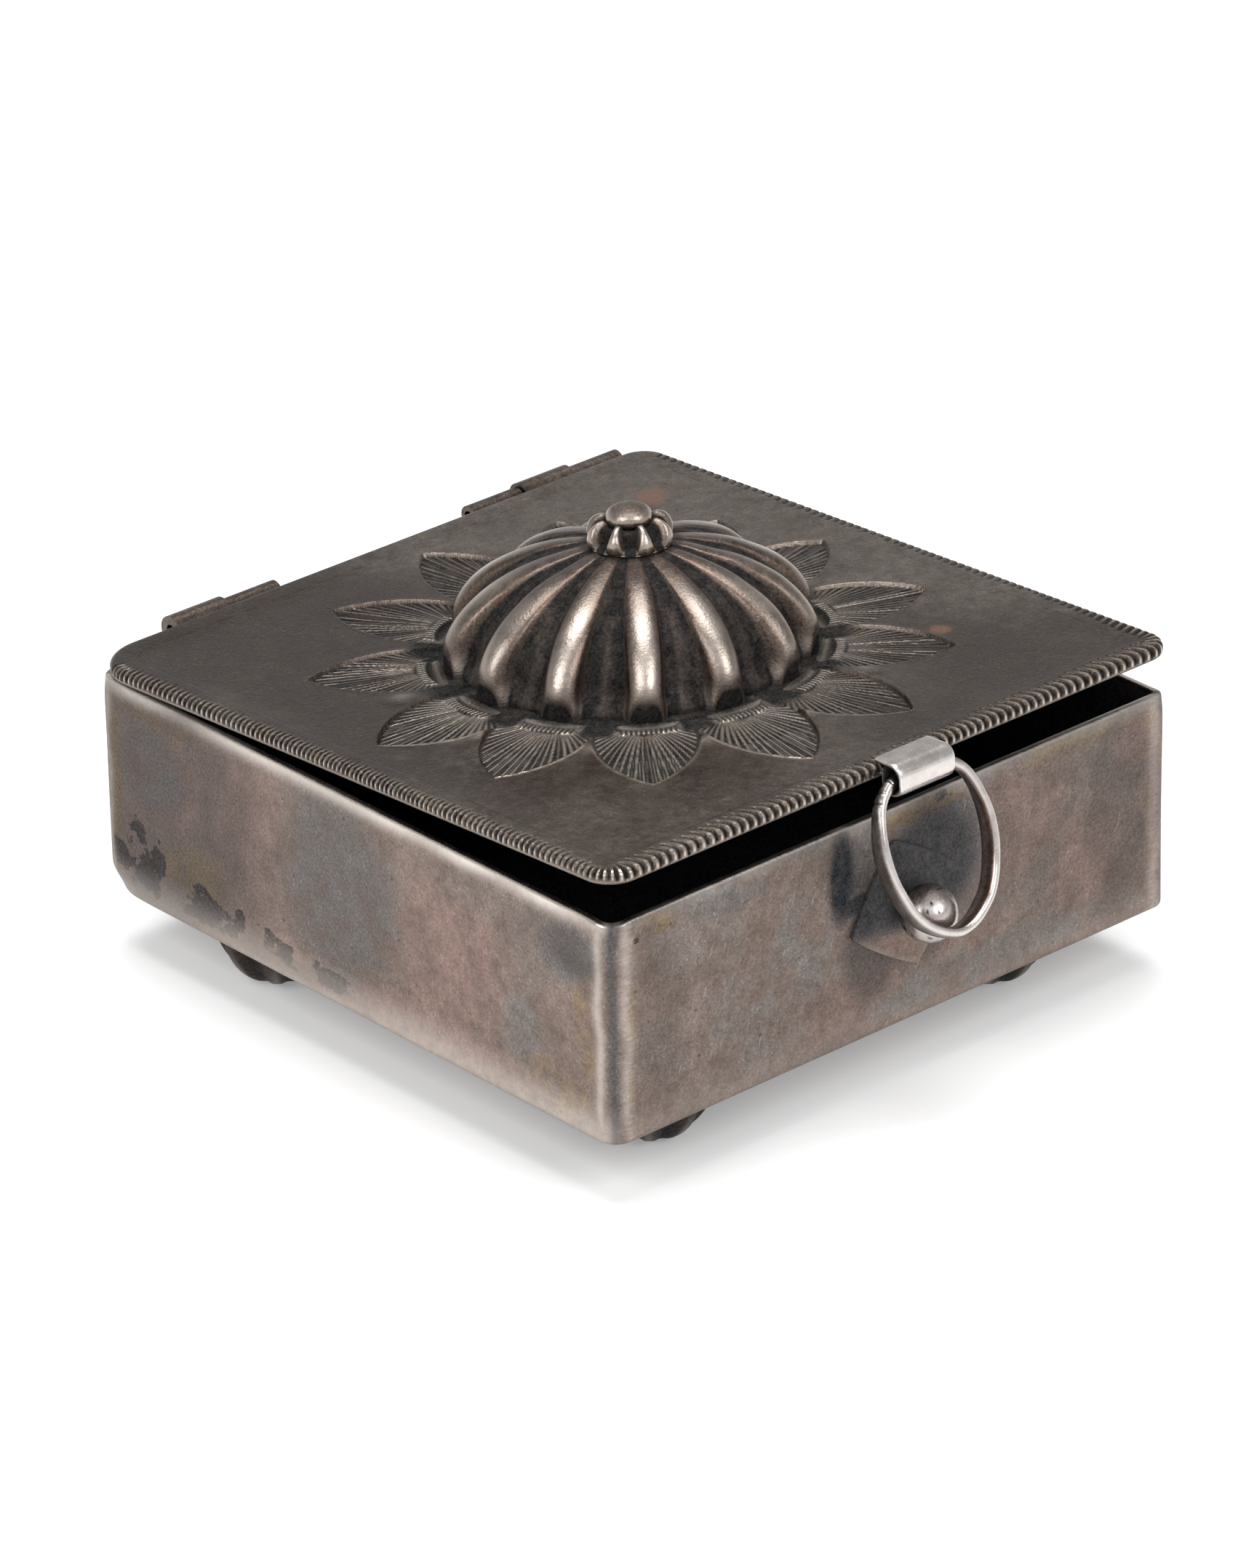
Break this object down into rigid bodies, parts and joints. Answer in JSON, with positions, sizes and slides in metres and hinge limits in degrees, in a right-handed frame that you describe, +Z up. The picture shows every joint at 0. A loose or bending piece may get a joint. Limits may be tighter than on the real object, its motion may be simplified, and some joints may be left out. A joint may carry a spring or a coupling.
{
  "type": "silver box",
  "caption": "Low square silver box on stamped feet, with a hinged lid, a fluted dome and finial, and a swinging pull ring on a ball stud.",
  "frame": {"origin": "centre of the whole box in plan, on the plane its feet stand on, with the lid ajar as pictured", "axes": "+Z up; -Y towards the front wall with the pull ring; the lid's hinge runs along X at the back"},
  "size_m": [0.0708, 0.0848, 0.0464],
  "materials": {
    "aged_silver_walls": "satin, tarnished",
    "aged_silver_lid": "satin, tarnished",
    "bright_silver": "worn bright",
    "dark_silver": "dark tarnish"
  },
  "bodies": {
    "box": {"wall_band": "aged_silver_walls", "base_plate": "aged_silver_walls", "foot_front_left": "dark_silver", "foot_front_right": "dark_silver", "foot_back_left": "dark_silver", "foot_back_right": "dark_silver", "stud_plate": "aged_silver_walls", "stud_ball": "bright_silver", "box_knuckle_left": "dark_silver", "box_knuckle_right_inner": "dark_silver", "box_knuckle_right_outer": "dark_silver", "hinge_pin_left": "dark_silver", "hinge_pin_right": "dark_silver"},
    "lid": {"lid_sheet": "aged_silver_lid", "lid_knuckle_left": "dark_silver", "lid_knuckle_right": "dark_silver", "finial_cap": "bright_silver", "finial_ball": "bright_silver", "ring_strap": "bright_silver"},
    "ring": {"pull_ring": "bright_silver"}
  },
  "joints": [
    {"name": "lid_hinge", "type": "hinge", "parent": "box", "child": "lid", "pos_m": [0, 0.04094, 0.02845], "axis": [-1, 0, 0], "range_deg": [-3.1, 105]},
    {"name": "ring_swing", "type": "hinge", "parent": "lid", "child": "ring", "pos_m": [0.0009, -0.03609, 0.03235], "axis": [-1, 0, 0], "range_deg": [0, 180]}
  ]
}
